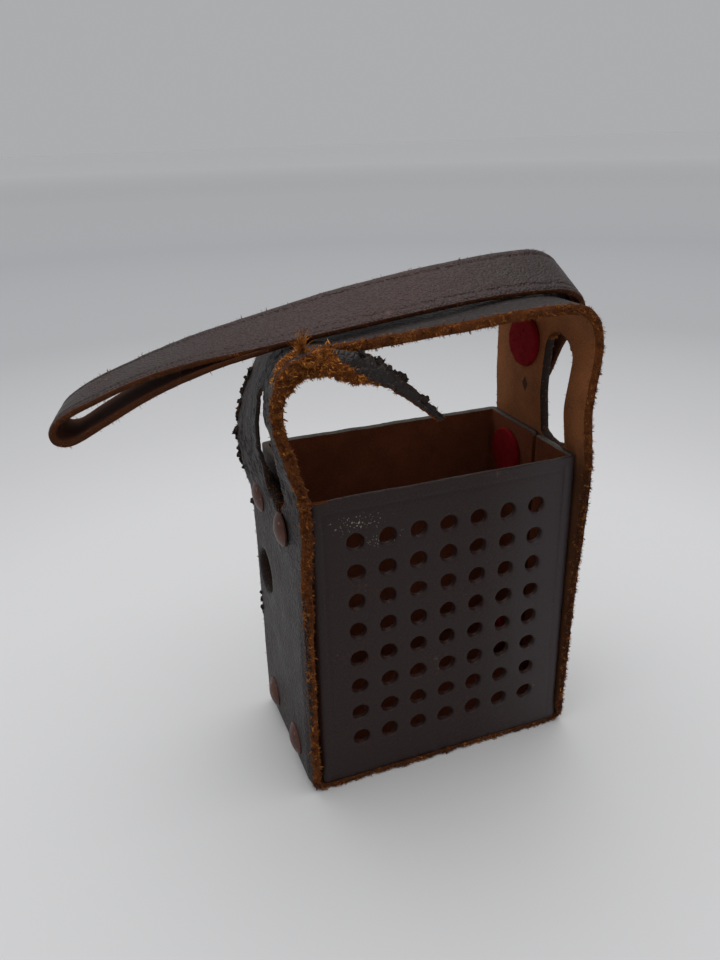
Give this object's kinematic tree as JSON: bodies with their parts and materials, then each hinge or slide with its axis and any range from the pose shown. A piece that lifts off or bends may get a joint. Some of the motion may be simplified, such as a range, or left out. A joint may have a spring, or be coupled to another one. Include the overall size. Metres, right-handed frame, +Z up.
{
  "type": "pocket radio carrying case",
  "caption": "Open-topped leather carrying case for a pocket radio, with a perforated front, an integral handle band and a riveted wrist strap.",
  "frame": {"origin": "middle of the base's underside, on the surface that the case stands on", "axes": "+Z up, +X to the right along the perforated front, +Y from the perforated front to the back"},
  "size_m": [0.1194, 0.042, 0.1214],
  "materials": {
    "pan_leather": "smooth moulded grain, dark grey brown",
    "band_leather": "worn grain, dark grey brown, with raw suede edges",
    "strap_leather": "pebbled grain with an embossed line along each edge",
    "red_felt": "pressed felt",
    "brown_cap": "brown lacquer over steel",
    "copper_post": "copper washed, dulled"
  },
  "bodies": {
    "case": {"back_pan": "pan_leather", "carry_band": "band_leather", "felt_disc_left_lower": "red_felt", "felt_disc_left_upper": "red_felt", "felt_disc_right_lower": "red_felt", "felt_disc_right_upper": "red_felt", "felt_disc_strap": "red_felt", "front_pan": "pan_leather", "rivet_cap_left_back_lower": "brown_cap", "rivet_cap_left_back_upper": "brown_cap", "rivet_cap_left_front_lower": "brown_cap", "rivet_cap_left_front_upper": "brown_cap", "rivet_cap_right_back_lower": "brown_cap", "rivet_cap_right_back_upper": "brown_cap", "rivet_cap_right_front_lower": "brown_cap", "rivet_cap_right_front_upper": "brown_cap", "rivet_post_left_back_lower": "copper_post", "rivet_post_left_back_upper": "copper_post", "rivet_post_left_front_lower": "copper_post", "rivet_post_left_front_upper": "copper_post", "rivet_post_right_back_lower": "copper_post", "rivet_post_right_back_upper": "copper_post", "rivet_post_right_front_lower": "copper_post", "rivet_post_right_front_upper": "copper_post", "strap_rivet_cap": "brown_cap", "strap_rivet_post": "copper_post"},
    "strap_end": {"strap_root": "strap_leather"},
    "wrist_loop": {"strap_loop": "strap_leather"}
  },
  "joints": [
    {"name": "strap_swivel", "type": "hinge", "parent": "case", "child": "strap_end", "pos_m": [0.0351, 0.0075, 0.0976], "axis": [-1, 0, 0], "range_deg": [0, 45]},
    {"name": "strap_lift", "type": "hinge", "parent": "strap_end", "child": "wrist_loop", "pos_m": [0.02852, -0.00289, 0.11756], "axis": [0, 0.887, 0.4617], "range_deg": [0, 90]}
  ]
}
